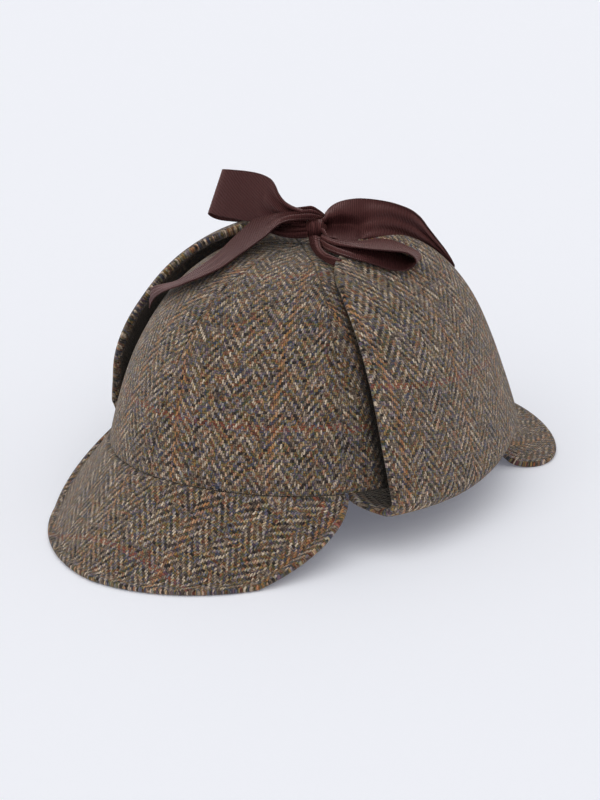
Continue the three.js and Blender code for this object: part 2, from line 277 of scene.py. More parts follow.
# Node helpers.
class Graph:
    def __init__(self, name):
        self.material = bpy.data.materials.new(name)
        self.material.use_nodes = True
        self.tree = self.material.node_tree
        self.shader = next(node for node in self.tree.nodes if node.type == "BSDF_PRINCIPLED")

    def feed(self, socket, value):
        if hasattr(value, "is_linked"):
            self.tree.links.new(value, socket)
        elif value is not None:
            socket.default_value = value

    def add(self, kind, **settings):
        node = self.tree.nodes.new(kind)
        for key, value in settings.items():
            setattr(node, key, value)
        return node

    def math(self, operation, *values):
        node = self.add("ShaderNodeMath", operation=operation)
        for socket, value in zip(node.inputs, values):
            self.feed(socket, value)
        return node.outputs[0]

    def combine(self, x, y, z=0.0):
        node = self.add("ShaderNodeCombineXYZ")
        for socket, value in zip(node.inputs, (x, y, z)):
            self.feed(socket, value)
        return node.outputs[0]

    def cloth(self):  # across and along the cloth, in millimetres
        uv = self.add("ShaderNodeUVMap", uv_map="cloth")
        split = self.add("ShaderNodeSeparateXYZ")
        self.feed(split.inputs[0], uv.outputs[0])
        return [self.math("MULTIPLY", split.outputs[place], 1 / mm) for place in (0, 1)]

    def noise(self, vector, scale, detail=2.0):
        node = self.add("ShaderNodeTexNoise")
        self.feed(node.inputs["Vector"], vector)
        node.inputs["Scale"].default_value = scale
        node.inputs["Detail"].default_value = detail
        return node.outputs[0]

    def hump(self, share, sharpness):  # rises from 0 to 1 and back as the share goes from 0 to 1
        fromMiddle = self.math("ABSOLUTE", self.math("MULTIPLY_ADD", share, 2.0, -1.0))
        return self.math("SUBTRACT", 1.0, self.math("POWER", fromMiddle, sharpness))

    def chance(self, vector):  # three random shares for each place
        node = self.add("ShaderNodeTexWhiteNoise", noise_dimensions="3D")
        self.feed(node.inputs["Vector"], vector)
        split = self.add("ShaderNodeSeparateColor")
        self.feed(split.inputs[0], node.outputs["Color"])
        return split.outputs[0], split.outputs[1], split.outputs[2]

    def mixValue(self, factor, first, second):
        node = self.add("ShaderNodeMix", data_type="FLOAT")
        self.feed(node.inputs[0], factor)
        self.feed(node.inputs[2], first)
        self.feed(node.inputs[3], second)
        return node.outputs[0]

    def ramp(self, factor, stops, steps="LINEAR"):
        node = self.add("ShaderNodeValToRGB")
        self.feed(node.inputs[0], factor)
        band = node.color_ramp
        band.interpolation = steps
        while len(band.elements) < len(stops):
            band.elements.new(0.5)
        for element, (place, colour) in zip(band.elements, stops):
            element.position = place
            element.color = tint(colour)
        return node.outputs[0]

    def mix(self, factor, first, second, blend="MIX"):
        node = self.add("ShaderNodeMix", data_type="RGBA", blend_type=blend)
        self.feed(node.inputs[0], factor)
        self.feed(node.inputs[6], first)
        self.feed(node.inputs[7], second)
        return node.outputs[2]

    def fromTo(self, value, low, high, start=0.0, end=1.0):
        node = self.add("ShaderNodeMapRange")
        for socket, given in zip(node.inputs, (value, low, high, start, end)):
            self.feed(socket, given)
        return node.outputs[0]

    def finish(self, cloth):
        self.shader.inputs["Roughness"].default_value = cloth["roughness"]
        self.shader.inputs["Specular IOR Level"].default_value = cloth["specular"]
        self.shader.inputs["Sheen Weight"].default_value = cloth["sheen"]
        self.shader.inputs["Sheen Roughness"].default_value = cloth["sheenRoughness"]
        self.shader.inputs["Sheen Tint"].default_value = tint(cloth["sheenTint"])

    def bump(self, height, distance, strength):
        node = self.add("ShaderNodeBump")
        node.inputs["Distance"].default_value = distance * mm
        node.inputs["Strength"].default_value = strength
        self.feed(node.inputs["Height"], height)
        self.feed(self.shader.inputs["Normal"], node.outputs[0])


def tint(colour):  # display colour, 0 to 255, to scene colour
    def one(value):
        value /= 255
        return value / 12.92 if value <= 0.04045 else ((value + 0.055) / 1.055) ** 2.4

    return tuple(one(value) for value in colour) + (1.0,)


# Tweed: a herringbone that passes over two yarns and under two, with an overcheck.
tweed = {
    "end": 0.94,  # width of one lengthwise yarn
    "pick": 1.22,  # width of one crosswise yarn
    "ends": 9,  # lengthwise yarns in one slanting column
    "repeat": 4.0,  # yarns from one float to the next
    "drift": 2.2,  # how far the columns stray over long stretches
    "driftScale": 0.12,
    "wander": 0.5,  # and over short ones
    "wanderAcross": 0.9,
    "wanderAlong": 0.5,
    "wanderLayer": 5.0,  # layers keep the noises apart
    "checkAcross": 46.0,  # spacing of the overcheck's lengthwise lines
    "checkAlong": 80.0,  # and of its crosswise ones
    "checkHalf": 1.3,  # half the width of its lines
    "checkMix": 0.4,
    "lengthwise": [
        (0.1, (60, 50, 44)),
        (0.4, (118, 101, 86)),
        (0.65, (164, 145, 125)),
        (0.9, (236, 216, 190)),
    ],
    "crosswise": [
        (0.1, (16, 13, 16)),
        (0.45, (54, 46, 43)),
        (0.75, (100, 84, 73)),
        (0.95, (152, 132, 113)),
    ],
    "lengthwiseLine": (190, 118, 50),
    "crosswiseLine": (160, 76, 52),
    "fibreAcross": 2.6,
    "fibreAlong": 0.9,
    "fibreFrom": 0.3,
    "fibreTo": 0.7,
    "fibreShade": 0.55,  # what fibres, patches and chance add to a yarn's shade
    "patchScale": 0.17,
    "patchLayer": 9.0,
    "patchShade": 0.5,
    "chanceShade": 0.5,
    "hueScale": 0.3,
    "hueLayer": 3.0,
    "hueTurns": 2.6,
    "hueChance": 0.3,
    "plain": 0.35,  # share of the floats that have no fleck
    "fleckMix": 0.56,
    "fleckFade": 0.15,  # how much a fleck keeps of its yarn's own colour
    "fleckFadeCrosswise": 0.35,  # and how much more in crosswise yarns
    "yarnRound": 2.0,  # 2 is round, more is flatter on top
    "floatRound": 4.0,
    "grooveUpTo": 0.6,
    "groove": 0.37,  # painted shade: brightness between the yarns
    "ridge": 0.9,  # and on top of them
    "shade": 0.08,  # brightness of the painted shade deep under a flap
    "roughness": 0.95,
    "specular": 0.2,
    "sheen": 0.3,
    "sheenRoughness": 0.5,
    "sheenTint": (226, 216, 204),
    "bump": 0.4,
    "bumpStrength": 0.7,
    "fibreBump": 0.3,
}
fleckColours = [
    (0.00, (186, 100, 42)),
    (0.12, (134, 58, 48)),
    (0.24, (184, 142, 60)),
    (0.38, (100, 114, 70)),
    (0.52, (86, 104, 140)),
    (0.68, (118, 86, 118)),
    (0.82, (224, 204, 176)),
]
yarnsApart = 37.0  # keeps the random numbers of neighbouring columns apart


def strayedCloth(g):  # across and along the cloth, with the yarns a little out of line
    across, along = g.cloth()
    flat = g.combine(across, along)
    centred = g.math("ADD", across, -tweed["drift"] / 2)
    across = g.math("MULTIPLY_ADD", g.noise(flat, tweed["driftScale"]), tweed["drift"], centred)
    across = g.math("MULTIPLY_ADD", g.noise(flat, tweed["wanderAcross"]), tweed["wander"], across)
    waver = g.noise(g.combine(across, along, tweed["wanderLayer"]), tweed["wanderAlong"])
    return across, g.math("MULTIPLY_ADD", waver, tweed["wander"] * 2, along)


def addLine(g, colour, place, spacing, yarns, strength, line):  # one set of the overcheck's lines
    onLine = g.math("LESS_THAN", g.math("PINGPONG", place, spacing / 2), tweed["checkHalf"])
    onLine = g.math("MULTIPLY", onLine, yarns)
    return g.mix(g.math("MULTIPLY", onLine, strength), colour, tint(line))


def makeTweed():
    g = Graph("tweed")
    across, along = strayedCloth(g)
    columnWidth = tweed["end"] * tweed["ends"]
    column = g.math("FLOOR", g.math("DIVIDE", across, columnWidth))
    ends = g.math("DIVIDE", g.math("PINGPONG", across, columnWidth), tweed["end"])
    picks = g.math("DIVIDE", along, tweed["pick"])
    end, pick = g.math("FLOOR", ends), g.math("FLOOR", picks)
    acrossEnd, acrossPick = g.math("FRACT", ends), g.math("FRACT", picks)

    # Which yarn lies on top, and how far along its float a place is.
    step = g.math("ADD", g.math("ADD", end, pick), g.math("MULTIPLY", column, 2.0))
    repeat = g.math("FLOOR", g.math("DIVIDE", step, tweed["repeat"]))
    inRepeat = g.math("SUBTRACT", step, g.math("MULTIPLY", repeat, tweed["repeat"]))
    crosswise = g.math("GREATER_THAN", inRepeat, 1.5)  # so are steps 2 and 3, not 0 and 1
    lengthwise = g.math("SUBTRACT", 1.0, crosswise)
    yarn = g.math("MULTIPLY_ADD", column, yarnsApart, end)
    yarn = g.mixValue(crosswise, yarn, g.math("ADD", pick, 0.5))
    shade, hueChance, fleckChance = g.chance(g.combine(yarn, repeat, g.math("MULTIPLY", crosswise, column)))
    hump = g.hump(g.mixValue(crosswise, acrossEnd, acrossPick), tweed["yarnRound"])
    reach = g.mixValue(
        crosswise,
        g.math("MULTIPLY", g.math("ADD", inRepeat, acrossPick), 0.5),
        g.math("MULTIPLY", g.math("ADD", g.math("SUBTRACT", inRepeat, 2.0), acrossEnd), 0.5),
    )
    height = g.math("MULTIPLY", hump, g.hump(reach, tweed["floatRound"]))

    # The yarn's shade.
    fibresAcross = g.math("MULTIPLY", across, tweed["fibreAcross"])
    fibresAlong = g.math("MULTIPLY", along, tweed["fibreAlong"])
    fibres = g.noise(g.combine(fibresAcross, fibresAlong), 1.0)
    fibres = g.fromTo(fibres, tweed["fibreFrom"], tweed["fibreTo"])
    patches = g.noise(g.combine(across, along, tweed["patchLayer"]), tweed["patchScale"], 3.0)
    tone = g.math("MULTIPLY", shade, tweed["chanceShade"])
    tone = g.math("MULTIPLY_ADD", g.math("SUBTRACT", patches, 0.5), tweed["patchShade"], tone)
    tone = g.math("MULTIPLY_ADD", fibres, tweed["fibreShade"], tone)
    colour = g.mix(crosswise, g.ramp(tone, tweed["lengthwise"]), g.ramp(tone, tweed["crosswise"]))

    # Flecks.
    hueDrift = g.noise(g.combine(across, along, tweed["hueLayer"]), tweed["hueScale"])
    hue = g.math("MULTIPLY", hueChance, tweed["hueChance"])
    hue = g.math("FRACT", g.math("MULTIPLY_ADD", hueDrift, tweed["hueTurns"], hue))
    fleck = g.ramp(hue, fleckColours, "CONSTANT")
    fade = g.math("MULTIPLY_ADD", crosswise, tweed["fleckFadeCrosswise"], tweed["fleckFade"])
    fleck = g.mix(fade, fleck, colour)
    hasFleck = g.math("GREATER_THAN", fleckChance, tweed["plain"])
    colour = g.mix(g.math("MULTIPLY", hasFleck, tweed["fleckMix"]), colour, fleck)

    # The overcheck.
    strength = g.math("MULTIPLY", g.math("ADD", shade, fibres), tweed["checkMix"])
    colour = addLine(g, colour, across, tweed["checkAcross"], lengthwise, strength, tweed["lengthwiseLine"])
    colour = addLine(g, colour, along, tweed["checkAlong"], crosswise, strength, tweed["crosswiseLine"])

    depth = g.add("ShaderNodeAttribute", attribute_name="shade").outputs["Fac"]  # painted shade from the flaps' attribute, 1 deep under a flap
    # painted shade: the colour is darker in the grooves between the yarns than on top of them
    light = g.fromTo(height, 0.0, tweed["grooveUpTo"], tweed["groove"], tweed["ridge"])
    # painted shade: the colour is made much darker deep under a flap
    light = g.math("MULTIPLY", light, g.math("MULTIPLY_ADD", depth, tweed["shade"] - 1.0, 1.0))
    colour = g.mix(1.0, colour, g.combine(light, light, light), "MULTIPLY")
    g.feed(g.shader.inputs["Base Color"], colour)
    g.finish(tweed)
    g.bump(g.math("MULTIPLY_ADD", fibres, tweed["fibreBump"], height), tweed["bump"], tweed["bumpStrength"])
    return g.material


# Ribbon.
ribbon = {
    "wide": 25.0,
    "thickness": 0.7,
    "across": 36,
    "rib": 0.9,
    "ribLight": 0.8,  # where on a rib the painted shade ends and the colour is full
    "waver": 0.5,  # how far the ribs stray
    "waverScale": 0.3,
    "mottle": 0.35,
    "mottleScale": 0.9,
    "base": (68, 38, 38),
    # the colour in the painted shade between the ribs, and in the darker mottle
    "dark": (31, 15, 17),
    "edge": (34, 20, 22),
    "selvedge": 0.8,
    "roughness": 0.5,
    "specular": 0.6,
    "specularTint": (238, 158, 150),
    "sheen": 0.3,
    "sheenRoughness": 0.3,
    "sheenTint": (222, 150, 138),
    "bump": 0.18,
    "bumpStrength": 0.8,
    "pleatFade": 42.0,  # the gathers end this far from the knot
    "pleatHeight": 3.6,
    "pleatLeft": 0.4,  # share of the gathers that stays further out
    "pleatLeftInLoop": 1 / 30,
    "flatEnd": 12,  # a cut end is flat over this length
    "fullness": 0.97,  # share of the width that the gathers take up
    "tallest": 6.0,  # no gather stands higher
    "foldSteps": 60,
    "halvings": 24,
}


def makeRibbonCloth():
    g = Graph("ribbon")
    across, along = g.cloth()
    flat = g.combine(across, along)
    waver = g.math("MULTIPLY_ADD", g.noise(flat, ribbon["waverScale"]), ribbon["waver"], along)
    rib = g.math("SINE", g.math("MULTIPLY", waver, math.tau / ribbon["rib"]))
    # painted shade: the colour darkens into the grooves between the ribs; the mottle below is the ribbon's
    # own uneven tone
    shade = g.fromTo(rib, -1.0, ribbon["ribLight"])
    mottle = g.math("SUBTRACT", g.noise(flat, ribbon["mottleScale"], 3.0), 0.5)
    shade = g.math("MULTIPLY_ADD", mottle, ribbon["mottle"], shade)
    colour = g.ramp(shade, [(0.0, ribbon["dark"]), (1.0, ribbon["base"])])
    edge = ribbon["wide"] / 2
    border = g.fromTo(g.math("ABSOLUTE", across), edge - ribbon["selvedge"], edge - ribbon["selvedge"] / 2)
    colour = g.mix(border, colour, tint(ribbon["edge"]))
    g.feed(g.shader.inputs["Base Color"], colour)
    g.finish(ribbon)
    g.shader.inputs["Specular Tint"].default_value = tint(ribbon["specularTint"])
    g.bump(rib, ribbon["bump"], ribbon["bumpStrength"])
    return g.material


tweedCloth = makeTweed()
ribbonCloth = makeRibbonCloth()
print("cloth made")


# Crown.
def panelRises():  # close together where the lower edge turns in
    roll, steps = crown["edgeRoll"], crown["edgeSteps"]
    low = [roll * (1 - math.cos(math.pi / 2 * step / steps)) for step in range(steps)]
    count = crown["up"] - steps
    high = []
    for step in range(count + 1):
        high.append(roll + (crown["tipAt"] - roll) * (1 - (1 - step / count) ** crown["crowding"]))
    return low + high


def addPanel(name, index):
    span = 360 / crown["panels"]
    start = crown["firstSeam"] + span * index
    rises = panelRises()
    lines = []
    for rise in rises:
        middle = domePoint(start + span / 2, rise)
        wide = max(crown["tipWidth"], math.radians(span) * math.hypot(middle.x, middle.y))
        gap = min(crown["seamGap"], wide * crown["seamShare"])
        lines.append((wide, [gap + d for d in edgeLines(crown["across"], wide - 2 * gap, crown["seamRoll"])]))

    def place(column, row):
        wide, distances = lines[row]
        distance = distances[column]
        rise = rises[row]
        angle = start + span * distance / wide
        fromSeam = min(distance, wide - distance)
        rim = min(crown["seamRoll"], wide / 4)
        inward = rim * (1 - roundedEdge(fromSeam, rim)) * crown["rollDepth"]
        inward += crown["seamRoll"] * (1 - roundedEdge(rise, crown["edgeRoll"])) * crown["rollDepth"]
        uneven = noise.noise(domePoint(angle, rise) * crown["rippleScale"]) * crown["ripple"]
        return domePoint(angle, rise, uneven * min(1, fromSeam / crown["rippleFade"]) - inward)

    flatten = turned(flatCloth, 0, crown["clothShift"])
    piece = addCloth(name + "_cloth", crown["across"], crown["up"], place, crown["wall"], flatten=flatten)
    dress(piece, tweedCloth, "tweed", name)
    return piece


crownPieces = {}
for index, side in enumerate(("front_left", "left", "back_left", "back_right", "right", "front_right")):
    crownPieces[side] = addPanel(f"crown_panel_{side}", index)
print("crown made")


# Peaks.
peak = {
    "thickness": 3.2,
    "tuckIn": 2.4,  # the sewn edge goes this far in under the crown
    "underCrown": 0.3,
    "across": 84,
    "out": 40,
    "restFlat": 4.8,
    "sideCut": 0.9995,
    "leastSlope": 0.1,
    "bend": 1.6,  # softens the bend where the slope meets the surface
    "rim": 1.7,
    "rimRows": 4,  # rows in the tucked-in edge, which isn't thinned
    "sideSag": 3,
    "sideSagPower": 8,
    "clothShift": (12, 67),
}
peaks = {
    "front_peak": {
        "facing": -90,
        "halfSpan": 60,
        "reach": 41.3,
        "sag": 1.0,  # 1 is a straight slope, more than 1 one that hollows
        "roundness": 1.5,
        "corner": 0.64,
        "layFrom": 0.68,  # share of the reach at which the edge comes down to the surface
    },
    "back_peak": {
        "facing": 90,
        "halfSpan": 48.2,
        "reach": 42,
        "sag": 2.2,
        "roundness": 6,
        "corner": 0.2,
        "layFrom": 0.6,
    },
}


def outward(angle):  # the way straight out from the crown's lower edge
    turn = math.radians(angle)
    return Vector((math.cos(turn) / crown["halfWidth"], math.sin(turn) / crown["halfLength"])).normalized()


def addPeak(name, shape):
    half = peak["thickness"] / 2

    def settings(column):
        t = math.sin(math.pi / 2 * (2 * column / peak["across"] - 1)) * peak["sideCut"]
        angle = shape["facing"] + shape["halfSpan"] * t
        reach = shape["reach"] * (1 - abs(t) ** shape["roundness"]) ** shape["corner"]
        return angle, reach

    def hollowSlope(angle, root, distance):  # the sides are cut from the same slope as the middle
        slope = shape["reach"] - peak["restFlat"]
        toSide = abs((angle - shape["facing"]) / shape["halfSpan"])
        sag = shape["sag"] + peak["sideSag"] * toSide ** peak["sideSagPower"]
        return half + (root - half) * max(0, 1 - max(0, distance) / slope) ** sag

    def straightSlope(reach, root, distance):  # the edge stands clear of the surface at the sides
        edge = half + root * max(0, 1 - reach / (shape["layFrom"] * shape["reach"]))
        slope = max(peak["leastSlope"], reach - 2 * min(peak["restFlat"] / 2, reach / 4))
        height = (root - edge) * min(1, 1 - distance / slope)
        if distance > slope * 0.5:
            height = (height + math.sqrt(height**2 + peak["bend"] ** 2)) / 2
        return edge + height

    def place(column, row):
        angle, reach = settings(column)
        root = edgeHeight(angle) - peak["underCrown"] - half
        distance = edgeLines(peak["out"], reach + peak["tuckIn"], peak["rim"])[row] - peak["tuckIn"]
        if shape["sag"] > 1:
            z = hollowSlope(angle, root, distance)
        else:
            z = straightSlope(reach, root, distance)
        x, y = ovalPoint(angle)
        away = outward(angle)
        return Vector((x + away.x * distance, y + away.y * distance, z))

    outline = [place(column, peak["out"]) for column in range(peak["across"] + 1)]
    for column in (0, peak["across"]):
        outline += [place(column, row) for row in range(peak["rimRows"], peak["out"])]

    def thin(column, row):
        point = place(column, row)
        return roundedEdge(min((point - other).length for other in outline), peak["rim"])

    def flatten(points):  # the slope laid out flat
        flat = []
        lengths = [0.0] * len(points[0])
        for row, line in enumerate(points):
            if row:
                lengths = [length + (line[c] - points[row - 1][c]).length for c, length in enumerate(lengths)]
            places = []
            for column, length in enumerate(lengths):
                angle, reach = settings(column)
                x, y = ovalPoint(angle)
                away = outward(angle)
                places.append((x + away.x * length, y + away.y * length))
            flat.append(places)
        return flat

    piece = addCloth(
        name + "_cloth",
        peak["across"],
        peak["out"],
        place,
        peak["thickness"],
        offset=0,
        flip=True,
        thin=thin,
        flatten=turned(flatten, 0, peak["clothShift"]),
        even=False,
    )
    for vertex in piece.data.vertices:
        vertex.co.z = max(0, vertex.co.z)
    dress(piece, tweedCloth, "tweed", name)


for name, shape in peaks.items():
    addPeak(name, shape)
print("peaks made")


# Ear flaps. The rows run from the sewn edge, round the fold and up to the tip, as in the frame's solids.
flap = {
    "thickness": 4.4,
    "outer": 1.8,
    "across": 56,
    "along": 96,
    "rim": 2.2,
    "tipThickness": 0.35,
    "backFrom": 0.56,  # share of the width from which the back stands out more
    "backFade": 0.34,
    "lean": 9,
    "clothShift": (12, 9),
    "shadeFrom": 0.5,  # how far in from a flap's edge the painted shade begins
    "shadeFade": 3.5,
    "dim": 0.4,  # least painted shade on a flap's inner side
    "closeFade": 0.25,
    "tipScale": 100,  # length of the crown's rise, for the flap's tip
}
flapColumns = ("rise", "stand", "ahead", "behind", "drop", "front", "back")
# stand: off the crown. ahead, behind: how much more at the front and at the back. front, back: angles.
flapLeftRows = [
    (0, -2.4, 0, 0, 2.1, -29.6, 40.9),
    (0, 3, 0, 0, 3.4, -28.6, 40.8),
    (0, 8, 0, 0, 5.4, -26, 40.6),
    (0, 12, 0, 0, 6.6, -23.4, 40.6),
    (0, 14.6, 0, 0, 5.2, -22.2, 40.8),
    (0, 15.2, 0.6, 0, 1.4, -21.8, 41),
    (0.06, 13.8, 1.6, 0, 0, -22.4, 41.2),
    (0.15, 12.6, 3.2, 0, 0, -23.4, 41.2),
    (0.26, 12, 2.6, 0.2, 0, -23.9, 41),
    (0.38, 11, 1.2, 1.2, 0, -24.4, 41.2),
    (0.5, 9.2, 0, 2.6, 0, -24.8, 41.2),
    (0.62, 7.4, 0, 3.8, 0, -25.4, 40.8),
    (0.73, 6.6, 0, 3.6, 0, -25.2, 39),
    (0.81, 6.4, 0, 2.2, 0, -19.6, 31.6),
    (0.865, 6.2, 0, 0.4, 0, -5, 18),
]
flapRightRows = [
    (0, -2.4, 0, 0, 2.1, -29.6, 40.9),
    (0, 3, 0, 0, 3.4, -27, 40.8),
    (0, 8, 0, 0, 5.4, -23, 40.6),
    (0, 12, 0, 0, 6.6, -19.6, 40.6),
    (0, 14.6, 0, 0, 5.2, -18.2, 40.8),
    (0, 15.2, 1, 0, 1.4, -18.4, 41),
    (0.06, 13.8, 2.6, 0, 0, -19.6, 41.2),
    (0.15, 12.6, 3, 0, 0, -22.6, 41.2),
    (0.26, 11.4, 1.6, 0, 0, -25, 41),
    (0.38, 9.8, 0.2, 0, 0, -26, 40.8),
    (0.5, 8.2, 0, 0, 0, -26, 40.2),
    (0.62, 7, 0, 0, 0, -25.6, 39.2),
    (0.73, 6.6, 0, 0, 0, -24.6, 37.4),
    (0.81, 6.4, 0, 0, 0, -19.6, 31),
    (0.865, 6.2, 0, 0, 0, -5, 18),
]


def flapLines(rows):
    lines = []
    for row in range(flap["along"] + 1):
        line = dict(zip(flapColumns, blendRows(rows, row / flap["along"])))
        line["rise"] = max(0, line["rise"])
        middle = domePoint((line["front"] + line["back"]) / 2, line["rise"], line["stand"])
        line["wide"] = math.radians(line["back"] - line["front"]) * math.hypot(middle.x, middle.y)
        line["distances"] = edgeLines(flap["across"], line["wide"], flap["rim"])
        lines.append(line)
    return lines


# how dark the painted shade is at this distance in from a flap's edge
def paintedDarkness(inward):
    return easeIn((inward - flap["shadeFrom"]) / flap["shadeFade"])


def paintShadeInside(piece, lines, closeFrom):  # painted shade on the side that faces the crown, which gets little light
    points = piece.data.vertices
    outer = len(points) // 2
    inside = 0 if abs(points[outer // 2].co.x) < abs(points[outer // 2 + outer].co.x) else outer
    shade = piece.data.attributes.new("shade", "FLOAT", "POINT").data
    for row, line in enumerate(lines):
        most = (1 - flap["dim"]) * (1 - easeIn((line["rise"] - closeFrom) / flap["closeFade"]))
        first = inside + row * len(line["distances"])
        for column, distance in enumerate(line["distances"]):
            fromEdge = min(distance, line["wide"] - distance)
            shade[first + column].value = flap["dim"] + most * paintedDarkness(fromEdge)


def paintShadeUnder(lines, side, closeFrom):  # painted shade on the crown where a flap lies over it
    for piece in crownPieces.values():
        mesh = piece.data
        shade = mesh.attributes.get("shade") or mesh.attributes.new("shade", "FLOAT", "POINT")
        for vertex in mesh.vertices[: len(mesh.vertices) // 2]:
            x, y, z = vertex.co.x / mm * side, vertex.co.y / mm - shiftY, vertex.co.z / mm
            angle, rise = domePlace(x, y, z)
            line = next((line for line in lines if line["rise"] >= rise), None)
            if x <= 0 or line is None:
                continue
            under = math.radians(min(angle - line["front"], line["back"] - angle)) * math.hypot(x, y)
            under = min(under, (lines[-1]["rise"] - rise) * flap["tipScale"])
            most = 1 - easeIn((rise - closeFrom) / flap["closeFade"])
            shade.data[vertex.index].value = most * paintedDarkness(under)


def addFlap(name, side, rows, closeFrom):  # above the rise closeFrom light reaches under the flap, so the painted shade fades out
    lines = flapLines(rows)
    across, along = flap["across"], flap["along"]

    def place(column, row):
        line = lines[row]
        share = line["distances"][column] / line["wide"]
        towardsBack = easeIn((share - flap["backFrom"]) / flap["backFade"])
        more = line["ahead"] * max(0, 1 - share * 2) + line["behind"] * towardsBack
        angle = line["front"] + (line["back"] - line["front"]) * share
        point = domePoint(angle, line["rise"], line["stand"] + more)
        return Vector((point.x * side, point.y, point.z - line["drop"]))

    def thin(column, row):
        distance = lines[row]["distances"][column]
        fromEdge = min(distance, lines[row]["wide"] - distance)
        return roundedEdge(fromEdge, flap["rim"]) * (flap["tipThickness"] if row == along else 1)

    piece = addCloth(
        name + "_cloth",
        across,
        along,
        place,
        flap["thickness"],
        offset=2 * flap["outer"] / flap["thickness"] - 1,
        flip=side < 0,
        thin=thin,
        flatten=turned(flatCloth, flap["lean"] * side, flap["clothShift"]),
        even=False,
    )
    paintShadeInside(piece, lines, closeFrom)
    paintShadeUnder(lines, side, closeFrom)
    dress(piece, tweedCloth, "tweed", name)

    for row in range(along):
        step = (place(across // 2, row + 1) - place(across // 2, row)).length


addFlap("ear_flap_left", 1, flapLeftRows, 1)
addFlap("ear_flap_right", -1, flapRightRows, 0.25)
print("flaps made")


# Ribbons. Each row of a table crosses the ribbon, from the edge towards the viewer to the edge away from it.
# A point is placed over the photograph: pixels from the left, pixels from the top, and millimetres
# ahead of the hat's middle, towards the camera.
picture = {
    "middle": (300, 400),
    "scale": 2310.6,  # pixels that a millimetre takes at a distance of one millimetre
}


def fromPicture(fromLeft, fromTop, ahead):  # to a tenth of a millimetre
    right, up, forward = viewAxes()
    size = (view["distance"] - ahead) / picture["scale"]
    place = right * (view["aimAcross"] + (fromLeft - picture["middle"][0]) * size)
    place += up * (picture["middle"][1] - fromTop) * size - forward * ahead
    return round(place.x, 1), round(place.y, 1), round(place.z + view["aimHeight"], 1)


tailLeftRows = [
    [(322.5, 221, 34), (322.5, 217.5, 33)],
    [(319, 219.5, 38), (319, 213.8, 35.5)],
    [(315.5, 219, 41), (315.5, 211, 37.5)],
    [(311, 218.6, 43), (311.3, 208, 38.7)],
    [(305, 218.6, 44), (305.5, 208.5, 38.5)],
    [(298, 219, 45), (298, 209.2, 38)],
    [(289, 220, 47), (287.5, 209.3, 36.5)],
    [(280.5, 223, 49), (277, 209.8, 33.5)],
    [(273, 229, 50), (267, 212, 29.5)],
    [(265.5, 236.3, 50.5), (258.5, 216, 27)],
    [(257, 242.5, 51), (250.5, 222.5, 27)],
    [(248, 249, 52), (242, 230, 28.5)],
    [(239, 255, 54), (232, 239.5, 30.5)],
    [(230, 261.5, 57.5), (222, 249.5, 35)],
    [(219, 268.5, 62), (211.5, 258.5, 41)],
    [(208, 273.5, 65), (201, 266.5, 45.5)],
    [(198, 278, 65.5), (191.5, 272.8, 45.5)],
    [(187, 281.7, 63.5), (182.5, 278.5, 44)],
    [(179, 285, 60), (176, 282.3, 41.5)],
    [(170, 288, 55), (169, 284.2, 36.5)],
    [(161, 291.8, 46), (160.5, 285.8, 30)],
    [(154, 297, 35), (153.5, 287.8, 22)],
    [(150.5, 303, 24), (152.5, 290.5, 14)],
    [(149.5, 308, 14), (155, 293, 8)],
]
tailRightRows = [
    [(318, 230, 39), (318, 227.5, 37.5), (318, 225, 36.5), (318, 222.5, 36.5), (318, 220, 36)],
    [(322, 232.5, 42.5), (322, 228.5, 39.5), (322, 225, 37), (322, 221, 38), (322, 217, 36.8)],
    [(327, 237, 46.5), (327, 232, 39), (326.5, 225, 33.5), (326.5, 218.5, 39), (326, 212.3, 36.5)],
    [(334, 238.7, 46), (334, 232.5, 40.5), (333, 225, 36), (332.5, 215.5, 39.5), (331.5, 206.2, 36.5)],
    [(342, 240, 46), (342, 233, 40.5), (341, 224.5, 35.5), (341, 213, 40), (340, 201.7, 36.5)],
    [(351, 241, 45.5), (351, 233.5, 41), (350.5, 224.5, 37), (350.5, 213, 40), (350, 199.4, 37)],
    [(360, 240.2, 45), (360, 234, 40), (360, 225.5, 38), (360, 213, 39.5), (360, 198.5, 37.5)],
    [(369, 238, 44), (369.5, 231, 42.5), (370, 222, 41), (370, 211, 40), (370, 198.8, 37.5)],
    [(378, 237.5, 40.5), (379, 229.5, 40), (379.5, 220.5, 39.5), (380, 211, 39), (380, 200.2, 37)],
    [(388, 238.5, 36), (389, 230, 36.8), (390, 221, 37.2), (390.5, 211.5, 37.2), (391, 202.5, 36.5)],
    [(400, 241, 31), (400.5, 232.5, 33), (401, 224, 34.5), (401.5, 215, 35.3), (402, 206, 35.5)],
    [(410, 245, 27), (410.5, 236.5, 29.5), (411, 228, 31.5), (411.5, 219, 33), (412, 210.5, 34)],
    [(420, 248.5, 22.5), (420, 241, 25), (420, 233.5, 27.5), (420, 225.5, 29.5), (420.5, 217.5, 31)],
    [(428.5, 251, 18), (428.5, 245.5, 20.5), (428, 239.5, 23), (428, 234, 25.2), (428, 228, 27)],
    [(436.5, 254.5, 15), (436.5, 250.5, 17), (436, 246.5, 19), (436, 242.3, 21), (436, 238, 22.5)],
    [(444, 259, 13), (444, 256.3, 14.3), (444, 253.6, 15.6), (444, 251, 17), (444, 248.5, 18)],
    [(450, 264.5, 12), (450, 262.7, 12.8), (450, 261, 13.6), (450, 259.2, 14.4), (450, 257.5, 15)],
    [
        (454.5, 269.5, 11.5),
        (454.5, 268.6, 11.9),
        (454.5, 267.7, 12.3),
        (454.5, 266.8, 12.7),
        (454.5, 266, 13),
    ],
]
